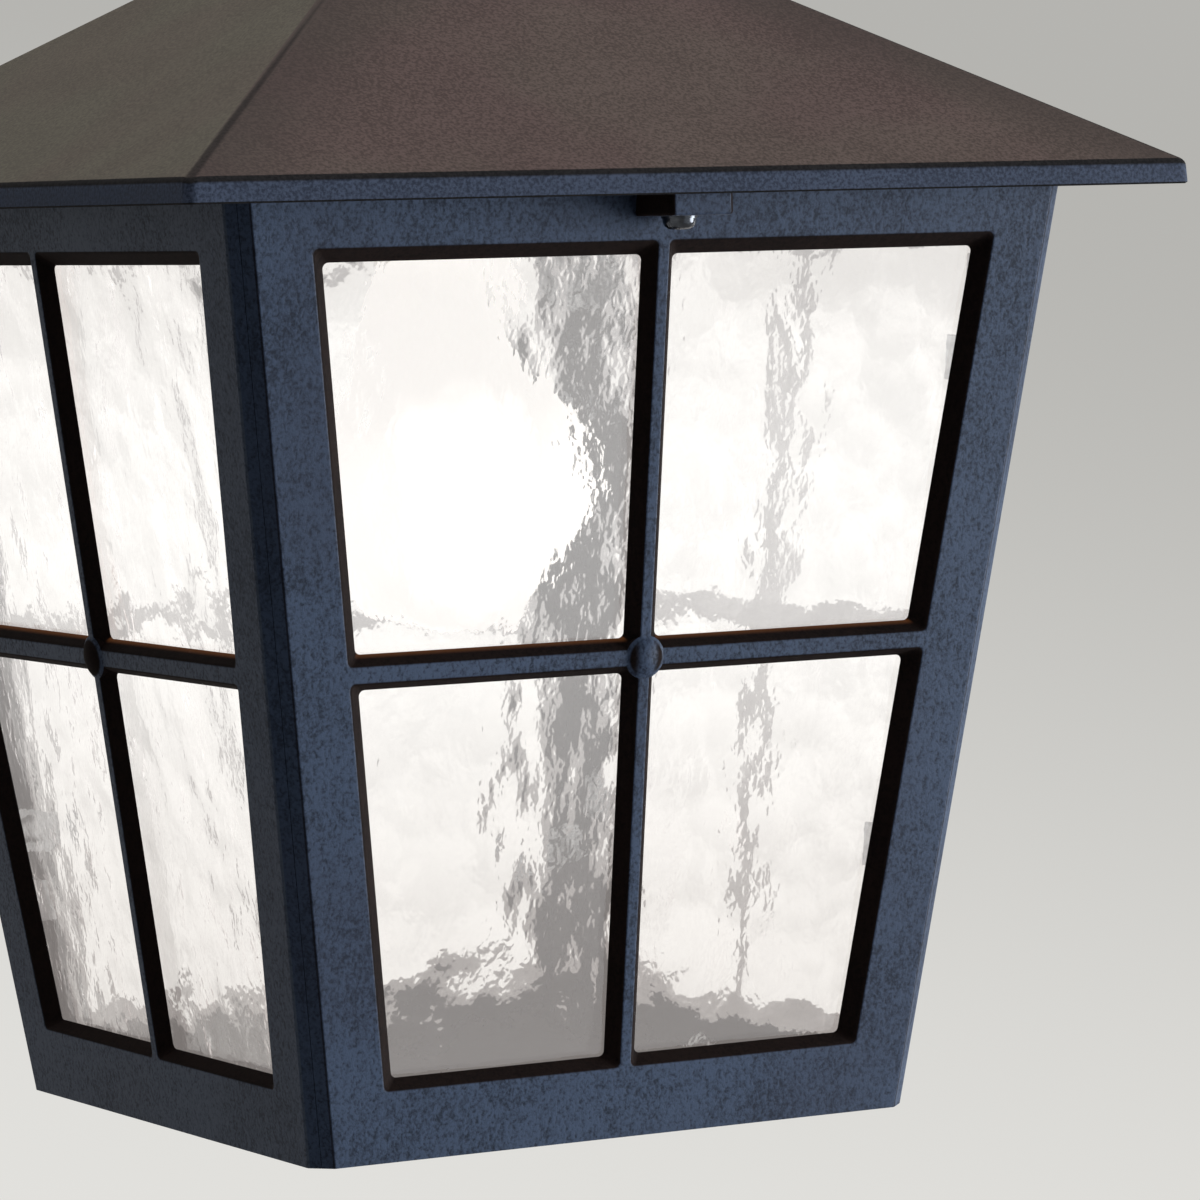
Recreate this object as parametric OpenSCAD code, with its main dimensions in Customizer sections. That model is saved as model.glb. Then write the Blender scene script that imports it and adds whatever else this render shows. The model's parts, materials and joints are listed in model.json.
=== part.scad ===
// Outdoor pendant lantern: a square tapered body of four cast side frames with rippled glass,
// under a wide pyramid roof that carries the lamp and hangs from an eye.
// Heights are measured from the eave line, the bottom edge of the roof's fascia, and the whole
// lantern is then lowered so that the origin is at the centre of the hanging eye.

/* [Body] */
// Width across the faces at the eave line
body_top_w = 190; // [170:1:200]
// Width across the faces at the foot
body_bottom_w = 138.1; // [120:0.1:160]
// Height of the body below the eave line
body_h = 189.9; // [170:0.1:220]
// How far the body's top edge stands above the eave line
body_rise = 1; // [0.5:0.1:1.4]
// How much of each face the bevel on a vertical corner takes
corner_cut = 4; // [2:0.1:5]
// Radius of the rounded edges beside that bevel
corner_r = 0.8; // [0.3:0.1:1.5]
// Width of the mitred seam between two side castings
seam_w = 0.12; // [0.08:0.01:0.5]

/* [Side castings] */
// Width of the stiles
stile_w = 16.4; // [14:0.2:24]
// Height of the top rail below the eave line
top_rail_h = 9; // [7:0.2:14]
// Height of the bottom rail
bottom_rail_h = 14.65; // [12:0.05:24]
// Width of the upright glazing bar at the face
bar_w = 2.8; // [2.5:0.1:8]
// Height of the level glazing bar at the face
bar_h = 3.6; // [2.5:0.1:8]
// Depth of the level bar's centre below the eave line
bar_z = 91.8; // [75:0.1:110]
// Thickness of the cast face in front of the glass
face_t = 2.9; // [2:0.1:4]
// Thickness of the rim round the glass
rim_t = 6.3; // [5:0.1:8]
// Slope of the reveals on the stiles and the top rail, across the face's thickness
frame_reveal = 3.45; // [1:0.05:4]
// Slope of the reveals on the upright glazing bar
bar_reveal = 2.45; // [0.5:0.05:3]
// Slope of the reveals on the level glazing bar and the bottom rail
sill_reveal = 2; // [0.5:0.1:3]
// Corner radius of the panes
pane_r = 1.2; // [1:0.1:3]
// Radius of the rounded edges round the panes
edge_r = 0.5; // [0.2:0.05:0.8]
// Diameter of the domed boss where the bars cross
boss_d = 8.8; // [6:0.1:14]
// Height of the boss
boss_h = 1.5; // [0.8:0.1:3]
// Width of the ledge that carries the base plate
ledge_w = 9; // [8:0.5:14]
// Thickness of the ledge
ledge_t = 3; // [2:0.1:5]

/* [Glass] */
// Thickness of the glass
glass_t = 3; // [2:0.1:3.2]
// How far the glass runs behind the frame
glass_lap = 5.1; // [4.5:0.1:6.5]
// Thickness of the glazing seal
seal_t = 0.4; // [0.2:0.05:0.8]
// Room round the glass in its rebate
glass_gap = 0.3; // [0.1:0.05:0.6]
// Thickness of the sheet metal clips and brackets
clip_t = 1; // [0.6:0.1:1.5]
// Width of a glass clip
clip_w = 9; // [7:0.5:12]
// Depth of the upper clips below the eave line
clip_z_high = 42; // [35:1:60]
// Depth of the lower clips below the eave line
clip_z_low = 142; // [120:1:155]

/* [Base] */
// Thickness of the base plate
base_t = 2; // [1.5:0.1:4]
// Diameter of the drain hole in its middle
drain_d = 6; // [4:0.5:10]

/* [Roof] */
// How far the eaves stand out from the body on each side
eave_overhang = 17.9; // [16:0.1:26]
// Height of the fascia
fascia_h = 4.7; // [4:0.1:9]
// Outward flare of the fascia at its bottom edge
fascia_flare = 0.2; // [0:0.1:1.5]
// Pitch of the roof
roof_pitch = 31; // [26:0.25:33]
// Thickness of the roof casting
roof_t = 2.5; // [2:0.1:3.5]
// Width of the flat at the top of the roof
roof_top_w = 34; // [28:1:40]
// Corner radius of the roof
roof_r = 2.2; // [1:0.1:4]
// Radius of the rounded edge between the fascia and the slopes
roof_edge_r = 2; // [0.8:0.1:3]
// Thickness of the rib that sits over the body's top edge
rib_t = 4.5; // [3:0.1:5]
// Thickness of the gasket under the rib
gasket_t = 1; // [0.6:0.1:2]

/* [Catch] */
// Width of the ear on the front side casting
ear_w = 14.3; // [12:0.1:20]
// Gap between the ear and the inside of the fascia
ear_gap = 1.4; // [1:0.1:4]
// How far the ear hangs below the eave line
ear_drop = 4.2; // [3:0.1:7]
// Radius of the ear's rounded lower edges
ear_edge = 0.7; // [0.3:0.1:1]
// Distance of the catch screw from the face
catch_out = 4.6; // [4.4:0.1:6]
// Diameter of the catch screw's thread
catch_d = 4; // [3.5:0.1:4.4]
// Diameter of the catch screw's head
catch_head_d = 6.6; // [6:0.1:7]
// Height of the catch screw's head
catch_head_h = 2.2; // [1.8:0.1:3]

/* [Hinge] */
// Diameter of the hinge pin
hinge_pin_d = 3; // [2.5:0.1:3.6]
// Outer diameter of the knuckles
knuckle_d = 7.2; // [6.6:0.1:8]
// Distance of the hinge axis from the back face
hinge_out = 5.5; // [5:0.1:8]
// Height of the hinge axis above the eave line
hinge_up = 1.5; // [1:0.1:3]
// Width of each roof knuckle
roof_knuckle_w = 8; // [6:0.5:12]

/* [Suspension] */
// Outer diameter of the hollow threaded stem
stem_d = 10; // [9:0.5:12]
// Bore of the stem
stem_bore_d = 7; // [6:0.1:7.4]
// Width of the top cap over the roof's flat
cap_w = 56; // [52:1:70]
// Height of the top cap
cap_h = 19; // [17:0.5:30]
// Thickness of the sealing washer under the cap
cap_washer_t = 1.5; // [1:0.1:3]
// Bore of the hanging eye
eye_d = 18; // [14:0.5:24]
// Outer diameter of the hanging eye
eye_outer_d = 29; // [26:0.5:38]
// Thickness of the eye
eye_t = 7; // [5:0.5:8]
// Height of the collar below the eye
collar_h = 8; // [6:0.5:14]
// Bore of the bush that the supply cable passes
cable_bore_d = 6.2; // [5:0.1:6.4]

/* [Lamp] */
// Diameter of the lamp's globe
globe_d = 60; // [45:1:60]
// Depth of the globe's centre below the eave line
globe_z = 60; // [52:1:70]
// Diameter over the thread of the lamp's cap
lamp_cap_d = 26.4; // [26:0.1:26.6]
// Length of the lamp's cap
lamp_cap_h = 24; // [20:0.5:26]
// Overall length of the lamp
lamp_h = 108; // [98:1:110]
// Travel of the lamp when it is unscrewed
lamp_travel = 18.1; // [14:0.1:20]
// Outer diameter of the lamp holder's skirt
holder_d = 39; // [36:0.5:44]
// Height of the lamp holder above the lamp's contact
holder_h = 25; // [22:0.5:30]

/* [Hidden] */

smooth = 48;
arc_steps = 6;
far = 400;
front = 0;
right = 1;
back = 2;
left = 3;

// Body: the faces lean in by the tilt, and distances along a face are longer by 1 / cos(tilt)
tilt = atan((body_top_w - body_bottom_w) / 2 / body_h);
rim_across = rim_t / cos(tilt);
function half_at(z) = body_top_w / 2 + z * tan(tilt);
function face_half(s) = body_top_w / 2 + s * sin(tilt);
function along_face(z) = z / cos(tilt);
base_z = -body_h + ledge_t;
base_half = half_at(base_z) - rim_across - 0.4;
ledge_half = half_at(-body_h) - rim_across - ledge_w;
base_screw_at = half_at(-body_h) - rim_across - ledge_w / 2 - 0.5;
glass_depth = face_t + seal_t;
glass_in = stile_w + frame_reveal - glass_lap;
glass_top_s = along_face(-top_rail_h) - frame_reveal + glass_lap;
glass_bottom_s = along_face(-body_h + bottom_rail_h) + sill_reveal - glass_lap;
rim_mid = glass_in - glass_gap - 3.1;
screw_d = 3;
screw_head_d = 5.6;
screw_head_h = 1.9;
screw_bite = 3.2;
bracket_leg = 17;
bracket_z = -20;
bracket_h = 14;
bracket_s = along_face(bracket_z);

// Roof
eave_half = body_top_w / 2 + eave_overhang;
pitch_rise = tan(roof_pitch);
slope_t = roof_t / cos(roof_pitch);
fascia_top_half = eave_half - fascia_flare;
roof_top_half = roof_top_w / 2;
function roof_z(half) = fascia_h + (fascia_top_half - half) * pitch_rise;
function roof_under_z(half) = roof_z(half) - slope_t;
roof_top_z = roof_z(roof_top_half);
ceiling_half = roof_top_half + 2;
ceiling_z = roof_under_z(ceiling_half);
seat_z = body_rise + gasket_t;
rib_half = half_at(body_rise) - 0.3;
earth_x = 40;
earth_z = roof_under_z(earth_x) - 6;

// Catch and hinge
catch_y = -body_top_w / 2 - catch_out;
ear_out = eave_overhang - roof_t - ear_gap;
catch_boss_r = 4.1;
catch_insert_r = 3;
catch_bore_r = catch_d / 2 + 0.15;
catch_washer_t = 0.5;
insert_h = roof_under_z(-catch_y + catch_insert_r) + 0.3 - body_rise;
catch_tip_z = roof_under_z(-catch_y + catch_insert_r) - 0.5;
catch_travel = catch_tip_z - body_rise + 0.5;
hinge_y = body_top_w / 2 + hinge_out;
hinge_gap = 0.3;
pin_fit = 0.05;
knuckle_bore_r = hinge_pin_d / 2 + pin_fit;

// Suspension and lamp
cap_washer_r = 13;
cap_under_z = roof_top_z + cap_washer_t;
cap_base_z = roof_z(cap_w / 2 - 2.2);
cap_top_z = cap_base_z + cap_h;
collar_r = 9;
eye_z = cap_top_z + collar_h + eye_outer_d / 2 - 1.5;
stem_r = stem_d / 2;
stem_fit = 0.1;
stem_top_z = cap_top_z + collar_h - 2.5;
stem_nut_h = 5;
stem_nut_z = ceiling_z - stem_nut_h;
lamp_tip_z = -globe_z - globe_d / 2;
lamp_top_z = lamp_tip_z + lamp_h;
cap_foot_z = lamp_top_z - 3.5 - lamp_cap_h;
shell_r = lamp_cap_d / 2 + 0.4;
holder_r = holder_d / 2;
holder_top_z = lamp_top_z + holder_h;
stem_foot_z = holder_top_z - 9;
cable_seat_r = stem_bore_d / 2 + 0.3;
cable_bush_z = stem_top_z;

function unit(v) = v / norm(v);

// A convex outline with its corners rounded to radius r
function rounded(outline, r, steps = arc_steps) = [
    for (i = [0 : len(outline) - 1])
        let (p = outline[i],
             a = unit(outline[(i + len(outline) - 1) % len(outline)] - p),
             b = unit(outline[(i + 1) % len(outline)] - p),
             half_angle = acos(a * b) / 2,
             centre = p + unit(a + b) * r / sin(half_angle),
             first = p + a * r / tan(half_angle) - centre,
             start = atan2(first.y, first.x))
            for (j = [0 : steps])
                let (turn = start + (180 - 2 * half_angle) * j / steps)
                    centre + r * [cos(turn), sin(turn)]
];

function at_height(outline, z) = [for (p = outline) [p.x, p.y, z]];

function square_outline(half) = [[-half, -half], [half, -half], [half, half], [-half, half]];

function square_ring(half, r, z) = at_height(rounded(square_outline(half), r), z);

// A square with its corners cut off, as the body has in plan
function body_outline(half) =
    let (near = half - corner_cut)
        rounded([
            [-near, -half], [near, -half], [half, -near], [half, near],
            [near, half], [-near, half], [-half, near], [-half, -near]
        ], corner_r, 3);

// A solid skinned over rings of points, listed upwards and each anticlockwise from above
module loft(rings) {
    n = len(rings[0]);
    m = len(rings);
    sides = [
        for (k = [0 : m - 2], i = [0 : n - 1])
            let (a = k * n + i, b = k * n + (i + 1) % n)
                each [[a, a + n, b], [a + n, b + n, b]]
    ];
    foot = [for (i = [0 : n - 1]) i];
    head = [for (i = [0 : n - 1]) m * n - 1 - i];
    polyhedron(points = [for (ring = rings) each ring], faces = concat([foot, head], sides));
}

// Lowers a piece from the eave line to its place under the hanging eye
module hung() {
    translate([0, 0, -eye_z]) children();
}

// Turns a piece of the front face round to another side
module on_side(side) {
    rotate([0, 0, 90 * side]) children();
}

// Face coordinates of the front: x across, y up the slope from the eave line, z outwards
module in_face() {
    translate([0, -body_top_w / 2, 0]) rotate([90 + tilt, 0, 0]) children();
}

// A pan-head screw, its head on the plane z = 0 and its shank running down
module pan_screw(d, long, head_d, head_h) {
    rotate_extrude($fn = smooth)
        polygon([
            [0, -long], [d / 2 - 0.4, -long], [d / 2, -long + 0.4], [d / 2, 0], [head_d / 2, 0],
            [head_d / 2, head_h * 0.35], [head_d * 0.44, head_h * 0.72],
            [head_d * 0.33, head_h * 0.93], [head_d * 0.2, head_h], [0, head_h]
        ]);
}

// Side castings

// Outline of one pane on the face at a depth, for the upper or the lower row, let out by a distance
function pane_outline(upper, depth, let_out) =
    let (frame_in = frame_reveal * depth / glass_depth - let_out,
         bar_in = bar_reveal * depth / glass_depth - let_out,
         sill_in = sill_reveal * depth / glass_depth - let_out,
         top = upper ? along_face(-top_rail_h) - frame_in
                     : along_face(-bar_z - bar_h / 2) - sill_in,
         foot = upper ? along_face(-bar_z + bar_h / 2) + sill_in
                      : along_face(-body_h + bottom_rail_h) + sill_in,
         inner = bar_w / 2 + bar_in,
         outer_top = face_half(top) - stile_w - frame_in,
         outer_foot = face_half(foot) - stile_w - frame_in)
        [[inner, foot], [outer_foot, foot], [outer_top, top], [inner, top]];

module pane_cutter(upper) {
    loft([
        at_height(rounded(pane_outline(upper, glass_depth, 0), pane_r), -glass_depth),
        for (a = [0 : 30 : 90])
            at_height(rounded(pane_outline(upper, edge_r * (1 - sin(a)), edge_r * (1 - cos(a))),
                pane_r), -edge_r * (1 - sin(a))),
        at_height(rounded(pane_outline(upper, 0, edge_r), pane_r), 0.5)
    ]);
}

// Outline behind the face, drawn in from the corner edges and between two levels on the slope
function face_outline(from_edge, top, foot) = [
    [-face_half(foot) + from_edge, foot], [face_half(foot) - from_edge, foot],
    [face_half(top) - from_edge, top], [-face_half(top) + from_edge, top]
];

// The boss is a shallow dome cut from a ball
module crossing_boss() {
    ball_r = (boss_d * boss_d / 4 + boss_h * boss_h) / (2 * boss_h);
    rim_angle = asin(boss_d / 2 / ball_r);
    in_face()
        translate([0, along_face(-bar_z), 0])
            rotate_extrude($fn = smooth)
                polygon([
                    [0, -face_t], [boss_d / 2 - 0.6, -face_t], [boss_d / 2, -0.6],
                    for (k = [6 : -1 : 0])
                        let (a = rim_angle * k / 6)
                            [ball_r * sin(a), boss_h - ball_r * (1 - cos(a))]
                ]);
}

module body_blank() {
    difference() {
        loft([
            at_height(body_outline(half_at(-body_h)), -body_h),
            at_height(body_outline(half_at(body_rise)), body_rise)
        ]);
        loft([
            square_ring(half_at(base_z) - rim_across, 1, base_z),
            square_ring(half_at(body_rise + 1) - rim_across, 1, body_rise + 1)
        ]);
        translate([0, 0, -body_h]) cube([2 * ledge_half, 2 * ledge_half, 3 * ledge_t], center = true);
    }
}

module mitre_wedge() {
    lift = seam_w / sqrt(2);
    translate([0, 0, -body_h - 5])
        linear_extrude(body_h + 10)
            polygon([[0, -lift], [-far, -far - lift], [far, -far - lift]]);
}

module clip_places() {
    for (hand = [-1, 1], z = [-clip_z_high, -clip_z_low])
        let (s = along_face(z) + hand * clip_w * 0.75)
            translate([hand * (face_half(s) - rim_mid), s, -rim_t])
                scale([hand, 1, 1]) children();
}

module bracket_places() {
    for (hand = [-1, 1])
        let (s = bracket_s + hand * bracket_h / 4)
            translate([hand * (face_half(s) - rim_mid), s, -rim_t]) children();
}

module side_casting() {
    difference() {
        union() {
            difference() {
                intersection() {
                    body_blank();
                    mitre_wedge();
                }
                in_face() {
                    translate([0, 0, -rim_t - 5])
                        linear_extrude(rim_t + 5 - face_t)
                            polygon(face_outline(glass_in - glass_gap, glass_top_s + glass_gap,
                                glass_bottom_s - glass_gap));
                    for (upper = [true, false]) {
                        pane_cutter(upper);
                        mirror([1, 0, 0]) pane_cutter(upper);
                    }
                }
            }
            crossing_boss();
        }
        in_face() {
            clip_places() translate([0, 0, -0.5]) cylinder(d = screw_d + 0.1, h = screw_bite + 0.8,
                $fn = smooth);
            bracket_places() translate([0, 0, -0.5]) cylinder(d = screw_d + 0.1,
                h = screw_bite + 0.8, $fn = smooth);
        }
        translate([0, -base_screw_at, -body_h - 1])
            cylinder(d = screw_d + 0.1, h = ledge_t + 2, $fn = smooth);
    }
}

function ear_ring(inset, z) =
    let (half = ear_w / 2 - inset,
         near = -body_top_w / 2 - ear_out + inset,
         far_side = -half_at(-ear_drop) + 2)
        at_height(rounded([[-half, near], [half, near], [half, far_side], [-half, far_side]], 1.2), z);

module catch_ear() {
    difference() {
        loft([
            for (a = [0 : 30 : 90]) ear_ring(ear_edge * (1 - sin(a)), -ear_drop + ear_edge * (1 - cos(a))),
            ear_ring(0, body_rise)
        ]);
        translate([0, catch_y, -ear_drop - 1])
            cylinder(r = catch_bore_r, h = ear_drop + body_rise + 2, $fn = smooth);
    }
}

module side_front() {
    color("#4a5364") hung() {
        side_casting();
        catch_ear();
    }
}

module side_right() {
    color("#4a5364") hung() on_side(right) side_casting();
}

module side_left() {
    color("#4a5364") hung() on_side(left) side_casting();
}

module side_back() {
    color("#4a5364") hung()
        difference() {
            union() {
                on_side(back) side_casting();
                translate([-ear_w / 2, hinge_y, hinge_up])
                    rotate([0, 90, 0]) cylinder(d = knuckle_d, h = ear_w, $fn = smooth);
                translate([-ear_w / 2, body_top_w / 2 - 2, hinge_up - knuckle_d / 2])
                    cube([ear_w, hinge_out + 2, knuckle_d / 2 - hinge_up + body_rise]);
            }
            translate([-ear_w, hinge_y, hinge_up])
                rotate([0, 90, 0]) cylinder(r = knuckle_bore_r, h = 2 * ear_w, $fn = smooth);
        }
}

// Glass, seals and clips

module glass_sheet(side) {
    color([0.92, 0.95, 0.95, 0.5]) hung() on_side(side) in_face()
        translate([0, 0, -glass_depth - glass_t])
            linear_extrude(glass_t)
                polygon(face_outline(glass_in, glass_top_s, glass_bottom_s));
}

module glass_front() {
    glass_sheet(front);
}

module glass_right() {
    glass_sheet(right);
}

module glass_back() {
    glass_sheet(back);
}

module glass_left() {
    glass_sheet(left);
}

module glazing_seal(side) {
    seal_in = stile_w + frame_reveal - 1;
    color("#202020") hung() on_side(side) in_face()
        translate([0, 0, -glass_depth])
            linear_extrude(seal_t)
                difference() {
                    polygon(face_outline(glass_in, glass_top_s, glass_bottom_s));
                    polygon(face_outline(seal_in, glass_top_s - glass_lap + 1,
                        glass_bottom_s + glass_lap - 1));
                }
}

module seal_front() {
    glazing_seal(front);
}

module seal_right() {
    glazing_seal(right);
}

module seal_back() {
    glazing_seal(back);
}

module seal_left() {
    glazing_seal(left);
}

// A sheet metal strip, screwed to the rim, whose finger lies on the glass and turns up at its tip
module glass_clip() {
    heel = 3.2;
    reach = stile_w - rim_mid - 0.5;
    difference() {
        rotate([90, 0, 0]) translate([0, 0, -clip_w / 2]) linear_extrude(clip_w)
            polygon([
                [heel, 0], [heel, -clip_t], [-reach, -clip_t], [-reach - 1.6, -clip_t - 1.6],
                [-reach - 2.3, -clip_t - 0.9], [-reach - 0.4, 0]
            ]);
        translate([0, 0, -clip_t - 1])
            cylinder(d = screw_d + 0.3, h = clip_t + 2, $fn = smooth);
    }
}

module clip_set(side) {
    color("silver") hung() on_side(side) in_face() clip_places() glass_clip();
}

module clips_front() {
    clip_set(front);
}

module clips_right() {
    clip_set(right);
}

module clips_back() {
    clip_set(back);
}

module clips_left() {
    clip_set(left);
}

module inward_screw() {
    translate([0, 0, -clip_t]) rotate([180, 0, 0])
        pan_screw(screw_d, clip_t + screw_bite, screw_head_d, screw_head_h);
}

module clip_screws() {
    color("silver") hung()
        for (side = [front : left]) on_side(side) in_face() clip_places() inward_screw();
}

// Corner brackets and base

module corner_bracket(side) {
    inner = bracket_z - bracket_h / 2;
    color("silver") hung() on_side(side)
        difference() {
            intersection() {
                difference() {
                    loft([
                        square_ring(half_at(inner) - rim_across, 1, inner),
                        square_ring(half_at(inner + bracket_h) - rim_across, 1, inner + bracket_h)
                    ]);
                    loft([
                        square_ring(half_at(inner - 1) - rim_across - clip_t / cos(tilt), 1, inner - 1),
                        square_ring(half_at(inner + bracket_h + 1) - rim_across
                            - clip_t / cos(tilt), 1, inner + bracket_h + 1)
                    ]);
                }
                translate([-far, -far, -far])
                    cube([far - half_at(bracket_z) + bracket_leg,
                        far - half_at(bracket_z) + bracket_leg, 2 * far]);
            }
            in_face() bracket_places() translate([0, 0, -clip_t - 1])
                cylinder(d = screw_d + 0.3, h = clip_t + 2, $fn = smooth);
            on_side(left) in_face() bracket_places() translate([0, 0, -clip_t - 1])
                cylinder(d = screw_d + 0.3, h = clip_t + 2, $fn = smooth);
        }
}

module bracket_front_left() {
    corner_bracket(front);
}

module bracket_front_right() {
    corner_bracket(right);
}

module bracket_back_right() {
    corner_bracket(back);
}

module bracket_back_left() {
    corner_bracket(left);
}

module bracket_screws() {
    color("silver") hung()
        for (side = [front : left]) on_side(side) in_face() bracket_places() inward_screw();
}

module base_plate() {
    color("#30333a") hung()
        difference() {
            translate([0, 0, base_z]) linear_extrude(base_t)
                polygon(rounded(square_outline(base_half), 2));
            translate([0, 0, base_z - 1]) cylinder(d = drain_d, h = base_t + 2, $fn = smooth);
            for (side = [front : left]) on_side(side)
                translate([0, -base_screw_at, base_z - 1])
                    cylinder(d = screw_d + 0.3, h = base_t + 2, $fn = smooth);
        }
}

module base_screws() {
    color("silver") hung()
        for (side = [front : left]) on_side(side)
            translate([0, -base_screw_at, base_z + base_t])
                pan_screw(screw_d, base_t + ledge_t - 0.4, screw_head_d, screw_head_h);
}

// Catch screw and hinge

module catch_washer() {
    color("silver") hung()
        translate([0, catch_y, -ear_drop - catch_washer_t])
            difference() {
                cylinder(d = catch_head_d + 0.6, h = catch_washer_t, $fn = smooth);
                translate([0, 0, -1]) cylinder(r = catch_bore_r, h = catch_washer_t + 2, $fn = smooth);
            }
}

module catch_screw() {
    long = catch_tip_z + ear_drop + catch_washer_t;
    slot_w = 1;
    color("silver") hung()
        translate([0, catch_y, -ear_drop - catch_washer_t]) rotate([180, 0, 0])
            difference() {
                pan_screw(catch_d, long, catch_head_d, catch_head_h);
                translate([-catch_head_d / 2 - 1, -slot_w / 2, catch_head_h - 0.9])
                    cube([catch_head_d + 2, slot_w, 2]);
            }
}

module catch_insert() {
    color("#b08d4f") hung()
        translate([0, catch_y, body_rise + 0.3])
            difference() {
                cylinder(r = catch_insert_r, h = insert_h, $fn = smooth);
                translate([0, 0, -1]) cylinder(r = catch_bore_r, h = insert_h + 2, $fn = smooth);
            }
}

module hinge_pin() {
    reach = ear_w / 2 + hinge_gap + roof_knuckle_w;
    head_r = hinge_pin_d / 2 + 1;
    color("silver") hung() translate([-reach, hinge_y, hinge_up]) rotate([0, 90, 0])
        rotate_extrude($fn = smooth)
            polygon([
                [0, -1.6], [head_r * 0.6, -1.5], [head_r * 0.9, -1.1], [head_r, -0.6], [head_r, 0],
                [hinge_pin_d / 2, 0], [hinge_pin_d / 2, 2 * reach + 0.4],
                [hinge_pin_d / 2 - 0.4, 2 * reach + 0.8], [0, 2 * reach + 0.8]
            ]);
}

// Roof

module roof_shell() {
    turn = 90 - roof_pitch;
    edge_in = fascia_top_half - roof_edge_r;
    edge_z = fascia_h - roof_edge_r * tan(turn / 2);
    difference() {
        loft([
            square_ring(eave_half - 0.35, roof_r, 0),
            square_ring(eave_half, roof_r, 0.35),
            for (k = [0 : 4])
                let (a = turn * k / 4)
                    square_ring(edge_in + roof_edge_r * cos(a), roof_r, edge_z + roof_edge_r * sin(a)),
            square_ring(roof_top_half, roof_r, roof_top_z)
        ]);
        loft([
            square_ring(eave_half - roof_t, roof_r, -1),
            square_ring(fascia_top_half - roof_t, roof_r, roof_under_z(fascia_top_half - roof_t)),
            square_ring(ceiling_half, roof_r, ceiling_z)
        ]);
    }
}

// What stands under the roof is carried up into the shell and trimmed to the roof's outside
module roof_undersides() {
    intersection() {
        union() {
            translate([0, 0, seat_z]) linear_extrude(far)
                difference() {
                    polygon(body_outline(rib_half));
                    polygon(rounded(square_outline(rib_half - rib_t), 1));
                }
            translate([0, catch_y, body_rise + 0.3])
                cylinder(r = catch_boss_r, h = far, $fn = smooth);
            translate([earth_x, 0, earth_z]) cylinder(r = 4.5, h = far, $fn = smooth);
            for (hand = [-1, 1]) {
                translate([hand * (ear_w / 2 + hinge_gap + roof_knuckle_w / 2)
                    - roof_knuckle_w / 2, hinge_y, hinge_up]) {
                    rotate([0, 90, 0]) cylinder(d = knuckle_d, h = roof_knuckle_w, $fn = smooth);
                    translate([0, -knuckle_d / 2, 0]) cube([roof_knuckle_w, knuckle_d, far]);
                }
            }
        }
        loft([
            square_ring(eave_half - 1, roof_r, -10),
            square_ring(fascia_top_half - 1, roof_r, roof_under_z(fascia_top_half - 1) + 1),
            square_ring(roof_top_half, roof_r, roof_under_z(roof_top_half) + 1)
        ]);
    }
}

module roof() {
    color("#57504e") hung()
        difference() {
            union() {
                roof_shell();
                roof_undersides();
            }
            translate([0, 0, ceiling_z - 5])
                cylinder(r = stem_r + stem_fit, h = far, $fn = smooth);
            translate([0, catch_y, body_rise])
                cylinder(r = catch_insert_r, h = insert_h + 0.3, $fn = smooth);
            translate([-ear_w / 2 - hinge_gap - roof_knuckle_w - 1, hinge_y, hinge_up])
                rotate([0, 90, 0]) cylinder(r = knuckle_bore_r,
                    h = ear_w + 2 * (hinge_gap + roof_knuckle_w + 1), $fn = smooth);
            translate([earth_x, 0, earth_z - 1])
                cylinder(d = catch_d + 0.1, h = 6, $fn = smooth);
        }
}

module roof_gasket() {
    color("#1c1c1c") hung()
        translate([0, 0, body_rise]) linear_extrude(gasket_t)
            difference() {
                polygon(body_outline(rib_half - 0.3));
                polygon(rounded(square_outline(rib_half - rib_t + 0.3), 1));
            }
}

module earth_screw() {
    color("#b08d4f") hung()
        translate([earth_x, 0, earth_z]) rotate([180, 0, 0]) pan_screw(catch_d, 4.5, 8, 2.4);
}

// Suspension

module top_cap() {
    half = cap_w / 2;
    room = 0.4;
    inner_foot = fascia_top_half - (cap_base_z - 1 - fascia_h) / pitch_rise + room;
    color("#4a4644") hung()
        difference() {
            loft([
                square_ring(half - 0.5, 3, cap_base_z),
                square_ring(half, 3, cap_base_z + 1.2),
                square_ring(half, 3, cap_base_z + 3.4),
                square_ring(half - 1.4, 3, cap_base_z + 4.4),
                for (a = [0 : 15 : 90])
                    square_ring(collar_r + 1.5 + (half - 3 - collar_r - 1.5) * (1 - sin(a)), 3,
                        cap_base_z + 5 + (cap_h - 7) * (1 - cos(a))),
                square_ring(collar_r + 1.5, 3, cap_top_z)
            ]);
            loft([
                square_ring(inner_foot, roof_r, cap_base_z - 1),
                square_ring(roof_top_half + room, roof_r, roof_top_z),
                square_ring(cap_washer_r + room, roof_r, cap_under_z)
            ]);
            translate([0, 0, roof_top_z])
                cylinder(r = stem_r + stem_fit, h = far, $fn = smooth);
        }
}

module cap_washer() {
    color("#1c1c1c") hung()
        translate([0, 0, roof_top_z])
            difference() {
                cylinder(r = cap_washer_r, h = cap_washer_t, $fn = smooth);
                translate([0, 0, -1]) cylinder(r = stem_r + stem_fit, h = cap_washer_t + 2,
                    $fn = smooth);
            }
}

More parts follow.
